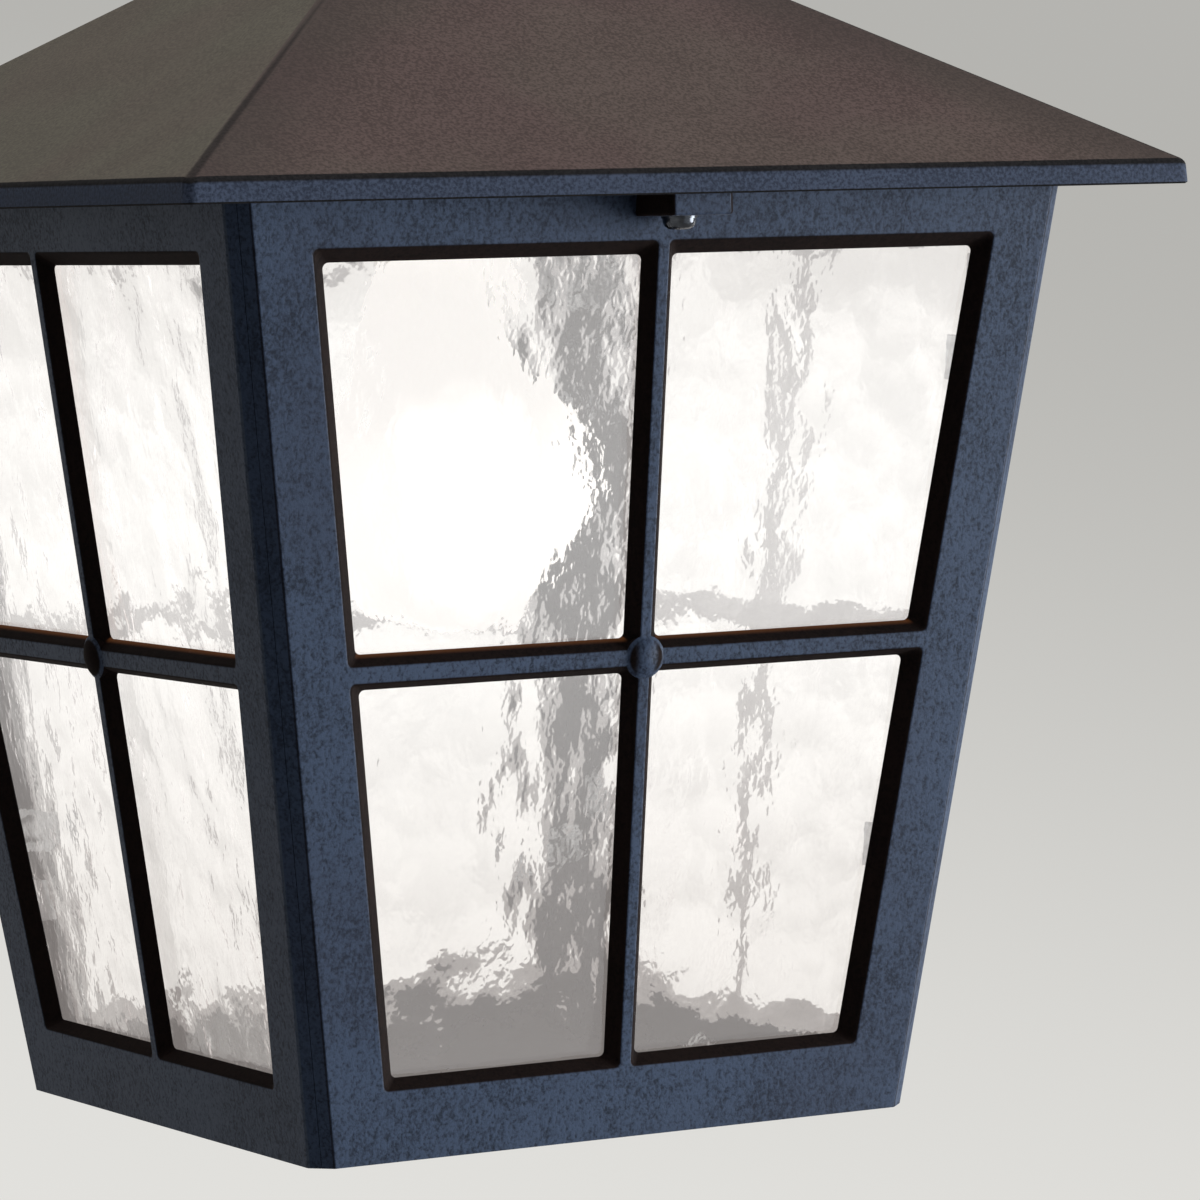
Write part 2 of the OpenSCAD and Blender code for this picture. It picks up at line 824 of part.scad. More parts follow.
module hanging_loop() {
    eye_r = eye_outer_d / 2;
    neck_r = stem_r + 2;
    neck_h = eye_z - eye_d / 2 - 0.4 - cap_top_z;
    color("#30333a") hung()
        difference() {
            union() {
                translate([0, 0, eye_z]) rotate([90, 0, 0])
                    rotate_extrude($fn = 2 * smooth)
                        polygon([
                            [eye_d / 2, -eye_t / 2 + 1.5], [eye_d / 2 + 0.5, -eye_t / 2 + 0.5],
                            [eye_d / 2 + 1.5, -eye_t / 2], [eye_r - 1.5, -eye_t / 2],
                            [eye_r - 0.5, -eye_t / 2 + 0.5], [eye_r, -eye_t / 2 + 1.5],
                            [eye_r, eye_t / 2 - 1.5], [eye_r - 0.5, eye_t / 2 - 0.5],
                            [eye_r - 1.5, eye_t / 2], [eye_d / 2 + 1.5, eye_t / 2],
                            [eye_d / 2 + 0.5, eye_t / 2 - 0.5], [eye_d / 2, eye_t / 2 - 1.5]
                        ]);
                translate([0, 0, cap_top_z])
                    rotate_extrude($fn = smooth)
                        polygon([
                            [0, 0], [collar_r, 0], [collar_r, 1.5], [collar_r - 0.6, 2.4],
                            [neck_r + 0.4, 3.4], [neck_r, 4.4], [neck_r, neck_h - 1.2],
                            [neck_r - 0.4, neck_h - 0.4], [neck_r - 1.2, neck_h], [0, neck_h]
                        ]);
            }
            translate([0, 0, cap_top_z - 1])
                cylinder(r = stem_r + stem_fit, h = stem_top_z - cap_top_z + 1, $fn = smooth);
            translate([0, 0, cap_top_z]) cylinder(r = cable_seat_r, h = eye_z - cap_top_z - 2,
                $fn = smooth);
        }
}

// A soft sleeve with a rounded lip, in the floor of the eye
module cable_bush() {
    lip_z = eye_z - eye_d / 2 - 0.3 - cable_bush_z;
    color("#1c1c1c") hung()
        translate([0, 0, cable_bush_z])
            rotate_extrude($fn = smooth)
                polygon([
                    [cable_bore_d / 2, 0], [cable_seat_r - 0.05, 0],
                    [cable_seat_r - 0.05, lip_z - 0.4], [cable_bore_d / 2 + 0.3, lip_z],
                    [cable_bore_d / 2, lip_z - 0.3]
                ]);
}

module stem() {
    color("#b08d4f") hung()
        translate([0, 0, stem_foot_z])
            difference() {
                cylinder(d = stem_d, h = stem_top_z - stem_foot_z, $fn = smooth);
                translate([0, 0, -1])
                    cylinder(d = stem_bore_d, h = stem_top_z - stem_foot_z + 2, $fn = smooth);
            }
}

module stem_nut() {
    color("silver") hung()
        translate([0, 0, stem_nut_z])
            difference() {
                intersection() {
                    cylinder(d = 1.9 * stem_d, h = stem_nut_h, $fn = 6);
                    rotate_extrude($fn = smooth)
                        polygon([[0, 0], [0.84 * stem_d, 0], [0.95 * stem_d, 1.2],
                            [0.95 * stem_d, stem_nut_h], [0, stem_nut_h]]);
                }
                translate([0, 0, -1]) cylinder(r = stem_r + stem_fit, h = stem_nut_h + 2,
                    $fn = smooth);
            }
}

// Lamp holder

module holder_dome() {
    foot = lamp_top_z + 7;
    wall = 1.6;
    color("#d8d4c8") hung()
        rotate_extrude($fn = smooth)
            polygon([
                [holder_r, foot], [holder_r, foot + 4],
                for (a = [10 : 16 : 74])
                    [stem_r + 3 + (holder_r - stem_r - 3) * cos(a), foot + 4 + 8 * sin(a)],
                [stem_r + 3, holder_top_z - 4.5], [stem_r + 3, holder_top_z],
                [stem_r + stem_fit, holder_top_z], [stem_r + stem_fit, stem_foot_z],
                for (a = [74 : -16 : 10])
                    [stem_r + 3 + (holder_r - stem_r - 3 - wall) * cos(a) - 1,
                        foot + 3 + (8 - wall) * sin(a)],
                [holder_r - wall, foot]
            ]);
}

module holder_core() {
    color("#efece4") hung()
        rotate_extrude($fn = smooth)
            polygon([
                [0, lamp_top_z + 2], [shell_r - 2, lamp_top_z + 2], [shell_r - 2, lamp_top_z - 1],
                [shell_r + 0.9, lamp_top_z - 1], [shell_r + 0.9, cap_foot_z + 8],
                [holder_r - 2, cap_foot_z + 8], [holder_r - 2, lamp_top_z + 5.6],
                [holder_r, lamp_top_z + 5.6], [holder_r, lamp_top_z + 7],
                [holder_r - 2, lamp_top_z + 7], [holder_r - 2, lamp_top_z + 8],
                [0, lamp_top_z + 8]
            ]);
}

module holder_shell() {
    color("#c0a060") hung()
        translate([0, 0, cap_foot_z + 8])
            difference() {
                cylinder(r = shell_r + 0.8, h = lamp_top_z - 1 - cap_foot_z - 8, $fn = smooth);
                translate([0, 0, -1]) cylinder(r = shell_r, h = far, $fn = smooth);
            }
}

module holder_contact() {
    color("#c0a060") hung()
        translate([0, 0, lamp_top_z])
            rotate_extrude($fn = smooth)
                polygon([[0, 0], [2.6, 0], [3.4, 0.5], [3.4, 1], [2, 2], [0, 2]]);
}

module holder_skirt() {
    color("#efece4") hung()
        rotate_extrude($fn = smooth)
            polygon([
                [shell_r + 0.9, cap_foot_z - 2], [holder_r - 3, cap_foot_z - 2],
                [holder_r - 0.4, cap_foot_z + 1], [holder_r, cap_foot_z + 6],
                [holder_r, lamp_top_z + 5.6], [holder_r - 1.9, lamp_top_z + 5.6],
                [holder_r - 1.9, cap_foot_z + 7.9], [shell_r + 0.9, cap_foot_z + 7.9]
            ]);
}

// Lamp

module lamp_contact() {
    color("#2a2a2a") hung()
        rotate_extrude($fn = smooth)
            polygon([
                [0, lamp_top_z - 3.5], [lamp_cap_d / 2 - 3, lamp_top_z - 3.5],
                [6, lamp_top_z - 1.2], [4.8, lamp_top_z - 1], [4.6, lamp_top_z - 0.4],
                [3.4, lamp_top_z], [0, lamp_top_z]
            ]);
}

// The cap's rounded thread, drawn as level rings that follow its pitch
module lamp_cap() {
    pitch = 3.62;
    turns = 4;
    wall = 0.5;
    top = lamp_top_z - 3.5;
    color("silver") hung()
        rotate_extrude($fn = smooth)
            polygon([
                [lamp_cap_d / 2 - 1 - wall, cap_foot_z], [lamp_cap_d / 2 - 1, cap_foot_z],
                for (i = [0 : turns - 1], a = [0 : 45 : 315])
                    [lamp_cap_d / 2 - 0.5 + 0.5 * sin(a - 90), top - 1 - (turns - i) * pitch
                        + pitch * a / 360],
                [lamp_cap_d / 2 - 1, top - 0.8], [lamp_cap_d / 2 - 3, top],
                [4.5, top], [4.5, top - 0.6],
                [lamp_cap_d / 2 - 3.2, top - 0.6], [lamp_cap_d / 2 - 1 - wall, top - 1.2]
            ]);
}

// Outline of the bulb from the neck down to the tip, drawn in by a distance
function bulb_outline(inset) =
    let (r = globe_d / 2 - inset,
         neck_r = lamp_cap_d / 2 - 1.8 - inset,
         neck_z = cap_foot_z + 4,
         p0 = [neck_r, neck_z],
         p1 = [neck_r, neck_z - 14],
         p3 = [r * cos(36), -globe_z + r * sin(36)],
         p2 = p3 + 15 * [-sin(36), cos(36)])
        concat(
            [for (t = [0 : 0.125 : 0.99]) pow(1 - t, 3) * p0 + 3 * pow(1 - t, 2) * t * p1
                + 3 * (1 - t) * t * t * p2 + pow(t, 3) * p3],
            [for (a = [36 : -9 : -81]) [r * cos(a), -globe_z + r * sin(a)]],
            [[0, -globe_z - r]]
        );

module lamp_bulb() {
    wall = 0.9;
    outer = bulb_outline(0);
    inner = bulb_outline(wall);
    color([1, 0.97, 0.9, 0.9]) hung()
        rotate_extrude($fn = 2 * smooth)
            polygon(concat(outer, [for (i = [len(inner) - 1 : -1 : 0]) inner[i]]));
}

roof();
roof_gasket();
top_cap();
cap_washer();
hanging_loop();
cable_bush();
stem();
stem_nut();
holder_dome();
holder_core();
holder_shell();
holder_contact();
holder_skirt();
earth_screw();
catch_insert();
hinge_pin();
side_front();
side_right();
side_back();
side_left();
glass_front();
glass_right();
glass_back();
glass_left();
seal_front();
seal_right();
seal_back();
seal_left();
clips_front();
clips_right();
clips_back();
clips_left();
clip_screws();
bracket_front_left();
bracket_front_right();
bracket_back_right();
bracket_back_left();
bracket_screws();
base_plate();
base_screws();
catch_washer();
catch_screw();
lamp_contact();
lamp_cap();
lamp_bulb();
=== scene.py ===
import json
import math

import bmesh
import bpy
from mathutils import Matrix, Vector, noise


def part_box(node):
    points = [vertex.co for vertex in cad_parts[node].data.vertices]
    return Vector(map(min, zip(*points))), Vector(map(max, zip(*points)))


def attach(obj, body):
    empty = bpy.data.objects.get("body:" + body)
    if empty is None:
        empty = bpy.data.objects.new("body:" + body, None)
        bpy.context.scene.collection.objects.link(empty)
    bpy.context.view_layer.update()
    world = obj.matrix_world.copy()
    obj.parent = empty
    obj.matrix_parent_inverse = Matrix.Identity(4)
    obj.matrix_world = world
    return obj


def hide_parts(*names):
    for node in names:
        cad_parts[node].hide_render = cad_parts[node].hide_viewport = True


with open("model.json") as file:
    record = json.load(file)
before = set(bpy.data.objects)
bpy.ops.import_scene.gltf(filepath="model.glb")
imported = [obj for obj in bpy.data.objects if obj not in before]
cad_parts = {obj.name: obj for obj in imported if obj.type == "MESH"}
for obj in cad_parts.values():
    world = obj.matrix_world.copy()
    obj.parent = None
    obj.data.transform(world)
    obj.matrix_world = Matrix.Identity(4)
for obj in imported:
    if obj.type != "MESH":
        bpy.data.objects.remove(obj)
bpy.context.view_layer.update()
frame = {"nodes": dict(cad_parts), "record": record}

# Sizes of the CAD, in metres, and the heights of its parts from the hanging eye
MM = 0.001
EAVE = -0.0969148
TOP_HALF = 0.095
BODY_TALL = 189.9 * MM
LEAN = math.atan(25.95 * MM / BODY_TALL)
TOP_RAIL = 9 * MM
BOTTOM_RAIL = 14.65 * MM
GLASS_THICK = 3.0 * MM
GLASS_BEHIND = 3.3 * MM
LAMP_HEIGHT = EAVE - 0.062
LAMP_CAP_HOLE = 4.5 * MM
LAMP_THREAD_PITCH = 3.62 * MM
MIDDLE = EAVE - 0.06
SIDES = ["front", "right", "back", "left"]

scene = bpy.context.scene
scene.view_settings.view_transform = "Standard"


# Camera

PHOTO_WIDE = 1200
FILM_WIDE = 36
FOCAL_PIXELS = 5963.22


def hang_camera():
    """Puts the camera where the photograph was taken; returns its right and up."""
    azimuth, elevation, roll = -0.51503, 0.06723, -0.02178
    away, aside, below, lift = 13.18611, 0.3554, 0.88861, 0.000294
    back = Vector((
        math.sin(azimuth) * math.cos(elevation),
        -math.cos(azimuth) * math.cos(elevation),
        math.sin(elevation),
    ))
    level_right = Vector((math.cos(azimuth), math.sin(azimuth), 0))
    level_up = back.cross(level_right)
    right = math.cos(roll) * level_right + math.sin(roll) * level_up
    up = math.cos(roll) * level_up - math.sin(roll) * level_right
    place = (away * back + aside * right - below * up) * TOP_HALF
    place.z += EAVE + lift
    camera = bpy.data.objects.new("photo_camera", bpy.data.cameras.new("photo_camera"))
    camera.data.sensor_width = FILM_WIDE
    camera.data.lens = FOCAL_PIXELS / PHOTO_WIDE * FILM_WIDE
    camera.data.clip_start = 0.05
    camera.data.clip_end = 50
    turned = Matrix((right, up, back)).transposed().to_4x4()
    camera.matrix_world = Matrix.Translation(place) @ turned
    scene.collection.objects.link(camera)
    scene.camera = camera
    return right, up


view_right, view_up = hang_camera()


# Materials


class Value:
    """A number, colour or vector on its way through a material."""

    def __init__(self, finish, socket):
        self.finish = finish
        self.socket = socket

    def maths(self, operation, first, second=0.0):
        return self.finish.node("Math", {"operation": operation}, {0: first, 1: second})

    def __add__(self, other):
        return self.maths("ADD", self, other)

    def __sub__(self, other):
        return self.maths("SUBTRACT", self, other)

    def __rsub__(self, other):
        return self.maths("SUBTRACT", other, self)

    def __mul__(self, other):
        return self.maths("MULTIPLY", self, other)

    def __pow__(self, other):
        return self.maths("POWER", self, other)

    def __abs__(self):
        return self.maths("ABSOLUTE", self)

    __radd__ = __add__
    __rmul__ = __mul__

    def least(self, other):
        return self.maths("MINIMUM", self, other)

    def most(self, other):
        return self.maths("MAXIMUM", self, other)

    def cosine(self):
        return self.maths("COSINE", self)

    def turn_over(self, across):
        """The angle whose tangent is this value over another."""
        return self.maths("ARCTAN2", self, across)

    def rise(self, low, high):
        """0 below low and 1 above high, smoothly."""
        return self.finish.node(
            "MapRange",
            {"interpolation_type": "SMOOTHSTEP"},
            {"Value": self, "From Min": low, "From Max": high},
        )

    def band(self, low, full, still_full, high):
        """0 below low, 1 from full to still_full and 0 above high, smoothly."""
        return self.rise(low, full) * (1 - self.rise(still_full, high))

    def axes(self):
        """The x, y and z of a vector."""
        parts = self.finish.node("SeparateXYZ", {}, {0: self})
        outputs = parts.socket.node.outputs
        return [Value(self.finish, outputs[i]) for i in range(3)]


class Finish:
    """The nodes of one material, or of the world."""

    def __init__(self, name, owner=None):
        self.owner = owner or bpy.data.materials.new(name)
        self.owner.use_nodes = True
        self.tree = self.owner.node_tree
        self.tree.nodes.clear()

    def node(self, kind, settings=None, sockets=None, output=0):
        made = self.tree.nodes.new("ShaderNode" + kind)
        for name, value in (settings or {}).items():
            setattr(made, name, value)
        for name, value in (sockets or {}).items():
            if isinstance(value, Value):
                self.tree.links.new(value.socket, made.inputs[name])
            else:
                made.inputs[name].default_value = value
        return Value(self, made.outputs[output]) if made.outputs else None

    def place(self):
        return self.node("TexCoord", {}, {}, "Object")

    def facing(self):
        return self.node("TexCoord", {}, {}, "Normal")

    def seen(self):
        """1 for the rays that show a background, directly, in a gloss or through glass."""
        camera_ray = self.node("LightPath", {}, {}, "Is Camera Ray")
        kinds = camera_ray.socket.node.outputs
        gloss = Value(self, kinds["Is Glossy Ray"])
        glass = Value(self, kinds["Is Transmission Ray"])
        return camera_ray.most(gloss).most(glass)

    def cloud(self, place, scale, detail=2.0, roughness=0.5, distortion=0.0):
        return self.node("TexNoise", {}, {
            "Vector": place, "Scale": scale, "Detail": detail, "Roughness": roughness,
            "Distortion": distortion,
        })

    def stretched(self, place, by):
        return self.node("Mapping", {}, {"Vector": place, "Scale": by})

    def along(self, direction, axis):
        """How far a direction points along an axis, from -1 to 1."""
        return self.node(
            "VectorMath", {"operation": "DOT_PRODUCT"}, {0: direction, 1: tuple(axis)}, "Value"
        )

    def blend(self, share, first, second):
        def four(colour):
            return colour if isinstance(colour, Value) else (*colour, 1)

        return self.node(
            "Mix", {"data_type": "RGBA"}, {0: share, 6: four(first), 7: four(second)}, 2
        )

    def bump(self, height, depth, strength=1.0):
        return self.node("Bump", {}, {"Height": height, "Distance": depth, "Strength": strength})

    def surface(self, **sockets):
        """One Principled shader as the whole material."""
        named = {name.replace("_", " "): value for name, value in sockets.items()}
        return self.shown(self.node("BsdfPrincipled", {}, named))

    def shown(self, shader):
        self.node("OutputMaterial", {}, {"Surface": shader})
        return self.owner


def half_across(z):
    """Half the body's width between two opposite faces, at a height."""
    return (z - EAVE) * math.tan(LEAN) + TOP_HALF


def depth_behind_face(place):
    """Distance behind the body's four leaning faces, in millimetres."""
    x, y, z = place.axes()
    return (half_across(z) - abs(x).most(abs(y))) * (math.cos(LEAN) / MM)


def on_corner(place):
    """1 on the bevels down the body's four corners, and 0 elsewhere."""
    x, y, z = place.axes()
    across = (half_across(z) * 2 - abs(x) - abs(y)) * (1 / MM)
    return 1 - across.rise(4.15, 4.3)


def painted_shade_coat(f, paint, relief, painted_lamp_light=None):
    """A dull coat with no sheen, used for painted shade where light hardly reaches."""
    sockets = {
        "Base Color": paint, "Roughness": 0.8, "Specular IOR Level": 0.05,
        "Normal": f.bump(relief, 0.05 * MM, 0.5),
    }
    if painted_lamp_light:
        sockets |= {"Emission Color": painted_lamp_light, "Emission Strength": 1.0}
    return f.node("BsdfPrincipled", {}, sockets)


def powder_coat_body():
    f = Finish("powder_coat_body")
    place = f.place()
    x, y, z = place.axes()
    nx, ny, nz = f.facing().axes()
    bevel = on_corner(place)

    # Grain of the powder, with dark pits between its bluer tops
    grain = f.cloud(place, 1500, 2, 0.6)
    strokes = f.cloud(f.stretched(place, (1, 1, 0.6)), 900, 3, 0.6, 0.8)
    patches = f.cloud(place, 45, 2, 0.5)
    speckle = (grain * 0.40 + strokes * 0.42 + patches * 0.18).rise(0.36, 0.58)
    paint = f.blend(speckle, (0.009, 0.015, 0.030), (0.050, 0.073, 0.124))
    warm = f.cloud(place, 14, 1, 0.5).rise(0.45, 0.65) * 0.25
    paint = f.blend(warm, paint, (0.026, 0.029, 0.050))

    # Painted light on each corner's bevel: a painted highlight line along one side, and a painted
    # shade line along the other
    aside = (abs(x) - abs(y)) * (1 / MM)
    painted_highlight = aside.band(3.2, 3.5, 3.9, 4.1) * bevel
    paint = f.blend(painted_highlight * (0.35 + speckle * 0.55), paint, (0.085, 0.105, 0.14))
    painted_edge_shade = (0 - aside).band(3.3, 3.6, 3.9, 4.1) * bevel * 0.7

    relief = grain * 0.5 + strokes * 0.5
    coat = f.node("BsdfPrincipled", {}, {
        "Base Color": paint, "Roughness": 0.6 - speckle * 0.12, "Specular IOR Level": 0.14,
        "Normal": f.bump(relief, 0.09 * MM, 0.9),
    })

    # Painted shade: a dark dull coat in the reveals and on the ear's sides; deeper inside the
    # body the dull coat is a lighter, warmer tone
    depth = depth_behind_face(place)
    shade = f.blend(speckle, (0.006, 0.004, 0.004), (0.013, 0.008, 0.007))
    shade = f.blend(depth.rise(4.5, 5.5), shade, (0.036, 0.032, 0.032))
    sunk = depth.rise(0.01, 0.14) * (1 - bevel)
    ear_side = (1 - depth.rise(-0.6, -0.3)) * abs(nx).rise(0.15, 0.4)

    # Painted lamp light: a warm glow on the reveals facing +x and +y and on the sills, next to
    # the glass and at the lamp's height
    by_lamp = (z - EAVE).band(-0.095, -0.085, -0.011, -0.0095) * 0.6
    beside_glass = depth.band(1.6, 2.7, 3.1, 3.4)
    facing_x_y_or_up = (nx + ny).rise(0.2, 0.5).most(nz.rise(0.3, 0.5) * 0.5)
    painted_lamp_light = f.blend(beside_glass * by_lamp * facing_x_y_or_up, (0, 0, 0), (0.27, 0.095, 0.03))

    # The coat of painted shade, carrying the painted lamp light, mixed in where the shade mask is
    shade_shader = painted_shade_coat(f, shade, relief, painted_lamp_light)
    shade_mask = sunk.most(ear_side).most(painted_edge_shade)
    return f.shown(f.node("MixShader", {}, {0: shade_mask, 1: coat, 2: shade_shader}))


def powder_coat_roof():
    f = Finish("powder_coat_roof")
    place = f.place()
    x, y, z = place.axes()
    nx, ny, nz = f.facing().axes()
    left_slope = (0 - nx).rise(0.2, 0.5)

    # Brown slopes, greener in random patches; painted light makes the left slope greener, and
    # painted shade darkens the slopes near the hips
    grain = f.cloud(place, 1400, 3, 0.6)
    patches = f.cloud(place, 55, 3, 0.5)
    speckle = (grain * 0.86 + patches * 0.14).rise(0.38, 0.62)
    slope = f.blend(speckle, (0.048, 0.032, 0.030), (0.100, 0.070, 0.066))
    green = f.blend(speckle, (0.064, 0.062, 0.048), (0.116, 0.117, 0.090))
    slope = f.blend(f.cloud(place, 18).rise(0.42, 0.6) * 0.16 + left_slope * 0.5, slope, green)
    # Painted shade near the hips, on all but the left slope
    near_hip = 1 - abs(abs(y) - abs(x)).rise(0.0, 0.034)
    slope = f.blend(near_hip * 0.5 * (1 - left_slope), slope, (0.026, 0.021, 0.020))

    rim = f.blend(speckle, (0.018, 0.025, 0.045), (0.056, 0.072, 0.114))
    paint = f.blend(nz.rise(0.3, 0.6), rim, slope)
    relief = grain * 0.7 + f.cloud(place, 700) * 0.3
    coat = f.node("BsdfPrincipled", {}, {
        "Base Color": paint, "Roughness": 0.62 + speckle * 0.12, "Specular IOR Level": 0.12,
        "Normal": f.bump(relief, 0.08 * MM, 0.9),
    })

    # Painted shade: a dark dull coat along the rounded edge, the hips and underneath
    edge = nz.band(0.12, 0.35, 0.79, 0.85)
    hip = abs(nx).least(abs(ny)).rise(0.06, 0.2) * nz.rise(0.4, 0.6) * 0.7
    under = 1 - nz.rise(-0.6, -0.1)
    shade = f.blend(speckle, (0.008, 0.008, 0.009), (0.017, 0.016, 0.017))
    shade_shader = painted_shade_coat(f, shade, relief)
    return f.shown(f.node("MixShader", {}, {0: edge.most(hip).most(under), 1: coat, 2: shade_shader}))


def rippled_glass():
    """Rolled glass with a painted glow standing in for the lamp's light scattered in it, most of
    it at the lamp's height.
    """
    f = Finish("rippled_glass")
    place = f.place()
    x, y, z = place.axes()
    rolled = f.stretched(place, (1, 1, 0.7))
    fine = f.cloud(rolled, 150, 2, 0.5, 0.6) * 0.62 + f.cloud(rolled, 560, 1, 0.5, 0.4) * 0.38
    # Painted lamp light: the glass glows, brightest at the lamp's height
    by_lamp = 1 - abs(z - MIDDLE).rise(0.0, 0.11)
    return f.surface(
        Base_Color=(0.86, 0.86, 0.855, 1),
        Roughness=0.06,
        IOR=1.5,
        Transmission_Weight=1.0,
        Emission_Color=f.blend(by_lamp, (0.61, 0.555, 0.53), (0.99, 0.955, 0.938)),
        Emission_Strength=0.16,
        Normal=f.bump(fine, 0.36 * MM, 0.5),
    )


def lit_bulb():
    """A milky bulb with three upright hot patches around it."""
    f = Finish("lit_bulb")
    patches, turned = 3, 1.93
    x, y, z = f.place().axes()
    lobes = ((y.turn_over(x) + turned) * patches).cosine()
    hot = (1 - abs(z - LAMP_HEIGHT).rise(0.008, 0.026)) * lobes.rise(-0.2, 0.5)
    return f.surface(
        Base_Color=(0.4, 0.39, 0.37, 1),
        Roughness=0.35,
        Emission_Color=f.blend(hot, (0.57, 0.55, 0.53), (1.0, 0.97, 0.93)),
        Emission_Strength=1.15,
    )


def metal(name, colour, shade_shader, roughness):
    f = Finish(name)
    wear = f.cloud(f.place(), 300, 3, 0.6)
    return f.surface(
        Base_Color=f.blend(wear.rise(0.42, 0.62), shade_shader, colour),
        Metallic=1.0,
        Roughness=roughness + wear * 0.15,
        Normal=f.bump(wear, 0.01 * MM, 0.5),
    )


def plain(name, colour, shade, roughness, grain=400, depth=0.01, coat=0.0):
    f = Finish(name)
    wear = f.cloud(f.place(), grain, 3, 0.6)
    return f.surface(
        Base_Color=f.blend(wear.rise(0.4, 0.65), shade, colour),
        Roughness=roughness + wear * 0.1,
        Coat_Weight=coat,
        Normal=f.bump(wear, depth * MM, 0.5),
    )


finishes = {
    "body_paint": powder_coat_body(),
    "roof_paint": powder_coat_roof(),
    "glass": rippled_glass(),
    "bulb": lit_bulb(),
    "rubber": plain("black_rubber", (0.022, 0.022, 0.022), (0.012, 0.012, 0.012), 0.7),
    "iron": plain("painted_iron", (0.05, 0.052, 0.06), (0.022, 0.024, 0.03), 0.4, 500, 0.04),
    "brass": metal("brass", (0.76, 0.56, 0.25), (0.55, 0.38, 0.16), 0.22),
    "zinc": metal("zinc_plate", (0.62, 0.63, 0.64), (0.45, 0.46, 0.47), 0.28),
    "nickel": metal("nickel_plate", (0.82, 0.80, 0.77), (0.7, 0.68, 0.65), 0.06),
    "dark_steel": metal("dark_steel", (0.07, 0.075, 0.085), (0.035, 0.037, 0.042), 0.14),
    "holder_dome": metal("aged_brass", (0.42, 0.31, 0.16), (0.2, 0.15, 0.08), 0.3),
    "porcelain": plain(
        "porcelain", (0.86, 0.84, 0.79), (0.78, 0.76, 0.7), 0.12, 60, 0.02, coat=0.5
    ),
    "insulator": plain(
        "black_glass", (0.02, 0.02, 0.022), (0.01, 0.01, 0.012), 0.1, 80, 0.01, coat=0.5
    ),
    "lamp_cap": metal("lamp_cap_metal", (0.78, 0.77, 0.75), (0.6, 0.59, 0.57), 0.2),
}


# Pieces

slots = {s["node"]: s["material_slot"] for s in frame["record"]["subparts"]}
bodies = {
    node: body for body, nodes in frame["record"]["behaviour"]["bodies"].items() for node in nodes
}


def keep(shape, name, node, sharp=35, weigh=True):
    """Makes a piece of a bmesh in place of a CAD node, with its finish and its body."""
    for face in shape.faces:
        face.smooth = True
    for edge in shape.edges:
        edge.smooth = edge.calc_face_angle(math.pi) < math.radians(sharp)
    mesh = bpy.data.meshes.new(name)
    shape.to_mesh(mesh)
    shape.free()
    piece = bpy.data.objects.new(name, mesh)
    scene.collection.objects.link(piece)
    mesh.materials.append(finishes[slots[node]])
    if weigh:
        even = piece.modifiers.new("even_shading", "WEIGHTED_NORMAL")
        even.keep_sharp = True
    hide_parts(node)
    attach(piece, bodies[node])


def finished(node):
    """The CAD node's own shape, its loose triangles joined so that it shades evenly."""
    same_place, same_plane = 0.002 * MM, math.radians(0.6)
    shape = bmesh.new()
    shape.from_mesh(frame["nodes"][node].data)
    bmesh.ops.remove_doubles(shape, verts=shape.verts, dist=same_place)
    bmesh.ops.dissolve_limit(
        shape, angle_limit=same_plane, verts=shape.verts, edges=shape.edges
    )
    keep(shape, node + "_finished", node)


def threaded_cap(node):
    """The lamp's cap with one running thread, inside the CAD ring's own box."""
    deep, wall, lid = 0.9 * MM, 0.6 * MM, 0.6 * MM
    shoulder_in, shoulder_down = 1.6 * MM, 1.4 * MM
    rings, steps = 96, 72
    fade_at_foot, fade_at_top = 0.16, 0.12
    low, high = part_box(node)
    foot, top = low[2], high[2]
    outer = (high[0] - low[0]) / 2
    inner = outer - deep - wall
    outline = (
        (outer, foot), (outer, top), (LAMP_CAP_HOLE, top), (LAMP_CAP_HOLE, top - lid),
        (inner - shoulder_in, top - lid), (inner, top - shoulder_down), (inner, foot),
    )
    shape = bmesh.new()
    corners = [shape.verts.new((radius, 0, height)) for radius, height in outline]
    edges = [shape.edges.new(pair) for pair in zip(corners, corners[1:] + corners[:1])]
    bmesh.ops.subdivide_edges(shape, edges=edges[:1], cuts=rings - 1)
    bmesh.ops.spin(
        shape, geom=shape.verts[:] + shape.edges[:], cent=(0, 0, 0), axis=(0, 0, 1),
        angle=2 * math.pi, steps=steps, use_merge=True,
    )
    bmesh.ops.recalc_face_normals(shape, faces=shape.faces)
    for vert in shape.verts:
        radius = math.hypot(vert.co.x, vert.co.y)
        if radius < outer - 0.1 * MM:
            continue
        along = (vert.co.z - foot) / (top - foot)
        fade = max(0, min(1, along / fade_at_foot, (1 - along) / fade_at_top))
        turn = math.atan2(vert.co.y, vert.co.x)
        wave = 0.5 + 0.5 * math.cos(2 * math.pi * vert.co.z / LAMP_THREAD_PITCH - turn)
        vert.co.xy *= (outer - deep + deep * wave * fade) / radius
    keep(shape, node + "_thread", node, 40)


def side_matrix(side):
    """From a face's own plane, x across, y up the slope and z outwards, to the lantern."""
    turn = Matrix.Rotation(math.radians(90 * SIDES.index(side)), 4, "Z")
    face = Matrix.Translation((0, -TOP_HALF, EAVE)) @ Matrix.Rotation(math.pi / 2 + LEAN, 4, "X")
    return turn @ face


RIPPLE_SIZES = ((13 * MM, 0.7), (6 * MM, 0.35), (3.4 * MM, 0.12))
OUTER_RIPPLE = 0.8 * MM
INNER_RIPPLE = 0.12 * MM


def ripple(x, y, seed):
    """Height of the rolled glass at a point, from 0 down to -1."""
    total = 0
    for size, share in RIPPLE_SIZES:
        spot = Vector((x / size + seed * 7.3, y / size * 0.8 - seed * 3.1, seed * 1.7))
        total += share * noise.noise(spot)
    return max(-1, min(0, total - 0.5))


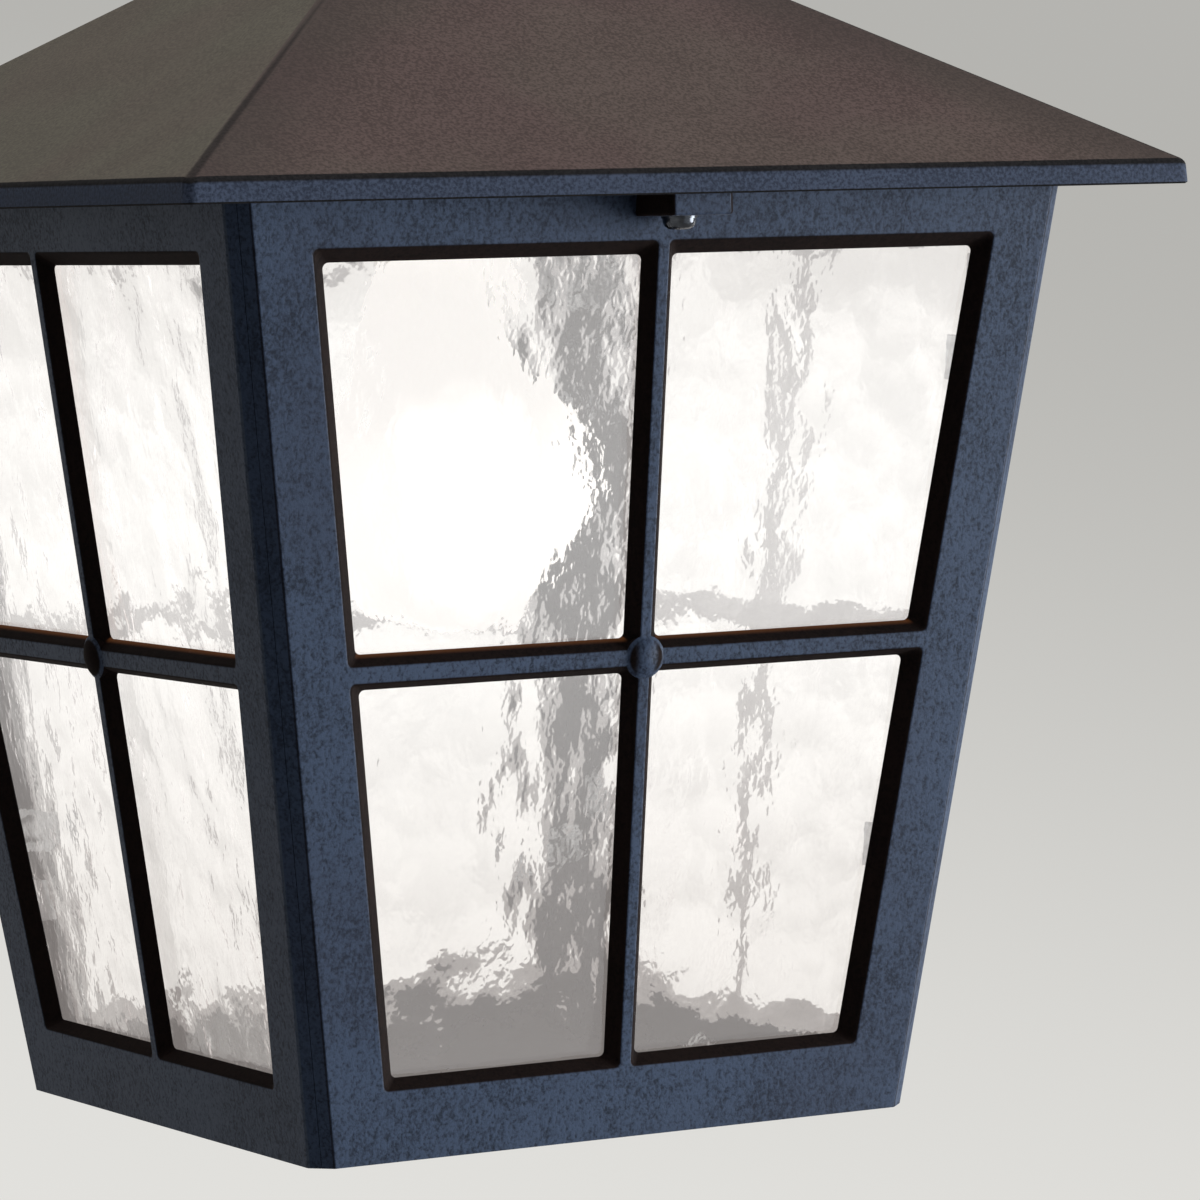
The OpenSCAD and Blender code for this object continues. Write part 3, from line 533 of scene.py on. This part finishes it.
def rippled_pane(side, seed):
    """A sheet of glass, well rippled outside and slightly inside, lapped by the casting."""
    stile, top_lap, bottom_lap = 14.75 * MM, 1.65 * MM, 3.1 * MM
    top = -TOP_RAIL / math.cos(LEAN) + top_lap
    foot = (BOTTOM_RAIL - BODY_TALL) / math.cos(LEAN) - bottom_lap
    shape = bmesh.new()
    bmesh.ops.create_grid(shape, x_segments=104, y_segments=112, size=1)
    outer = list(shape.verts)
    for vert in outer:
        along = foot + (vert.co.y + 1) / 2 * (top - foot)
        half = TOP_HALF + along * math.sin(LEAN) - stile
        vert.co = Vector((vert.co.x * half, along, -GLASS_BEHIND))
    made = bmesh.ops.extrude_face_region(shape, geom=list(shape.faces))
    inner = [v for v in made["geom"] if isinstance(v, bmesh.types.BMVert)]
    for vert in outer:
        vert.co.z += OUTER_RIPPLE * ripple(vert.co.x, vert.co.y, seed)
    for vert in inner:
        vert.co.z -= GLASS_THICK + INNER_RIPPLE * ripple(vert.co.x, vert.co.y, seed + 9)
    bmesh.ops.recalc_face_normals(shape, faces=shape.faces)
    shape.transform(side_matrix(side))
    node = "glass_" + side
    keep(shape, node + "_rippled", node, 50, False)


for node in frame["nodes"]:
    if node == "lamp_cap":
        threaded_cap(node)
    elif not node.startswith("glass_"):
        finished(node)
for number, side in enumerate(SIDES):
    rippled_pane(side, number + 1)


# Studio


def soft_light(name, place, width, height, power, colour=(1, 1, 1)):
    """A soft lamp aimed at the lantern's middle."""
    lamp = bpy.data.lights.new(name, "AREA")
    lamp.shape = "RECTANGLE"
    lamp.size = width
    lamp.size_y = height
    lamp.energy = power
    lamp.color = colour
    light = bpy.data.objects.new(name, lamp)
    light.location = place
    aim = Vector((0, 0, MIDDLE)) - Vector(place)
    light.rotation_euler = aim.to_track_quat("-Z", "Y").to_euler()
    light.visible_camera = False
    light.visible_transmission = False
    scene.collection.objects.link(light)


def backdrop_world():
    """A pale wall that grows lighter downwards, in a dim room."""
    world = bpy.data.worlds.new("studio")
    scene.world = world
    f = Finish("studio", world)
    direction = f.node("TexCoord", {}, {}, "Generated")
    low = f.along(direction, -view_up)
    aside = f.along(direction, view_right)
    lighter = (low + aside * -0.18).rise(-0.10, 0.13)
    wall = f.blend(lighter, (0.462, 0.457, 0.436), (0.760, 0.752, 0.724))
    colour = f.blend(f.seen(), (0.06, 0.064, 0.074), wall)
    light = f.node("Background", {}, {"Color": colour, "Strength": 1.0})
    f.node("OutputWorld", {}, {"Surface": light})


def pale_floor():
    """A plain floor well below the lantern, melting into the wall at its rim."""
    radius, height = 6, EAVE - 1.3
    fade_from, fade_to = 3.0, 5.8
    shape = bmesh.new()
    bmesh.ops.create_circle(shape, cap_ends=True, segments=96, radius=radius)
    bmesh.ops.translate(shape, vec=(0, 0, height), verts=shape.verts)
    mesh = bpy.data.meshes.new("floor")
    shape.to_mesh(mesh)
    shape.free()
    floor = bpy.data.objects.new("floor", mesh)
    scene.collection.objects.link(floor)
    f = Finish("pale_floor")
    place = f.place()
    x, y, z = place.axes()
    from_middle = (x * x + y * y) ** 0.5
    mesh.materials.append(f.surface(
        Base_Color=f.blend(f.cloud(place, 3), (0.17, 0.168, 0.164), (0.19, 0.188, 0.184)),
        Roughness=1.0,
        Specular_IOR_Level=0.0,
        Emission_Color=f.blend(f.seen(), (0, 0, 0), (0.55, 0.545, 0.525)),
        Emission_Strength=1.0,
        Alpha=1 - from_middle.rise(fade_from, fade_to),
    ))


soft_light("front_softbox", (2.3, -1.15, -0.4), 1.3, 1.3, 94, (0.94, 0.975, 1))
soft_light("sheen_card", (1.0, -1.75, -0.75), 1.9, 1.5, 6.5, (0.8, 0.9, 1))
soft_light("top_softbox", (-0.25, -0.35, 2.2), 1.4, 1.4, 50, (1, 0.98, 0.94))
soft_light("edge_strip", (-2.0, 0.45, -0.1), 0.1, 1.2, 0.5)
backdrop_world()
pale_floor()
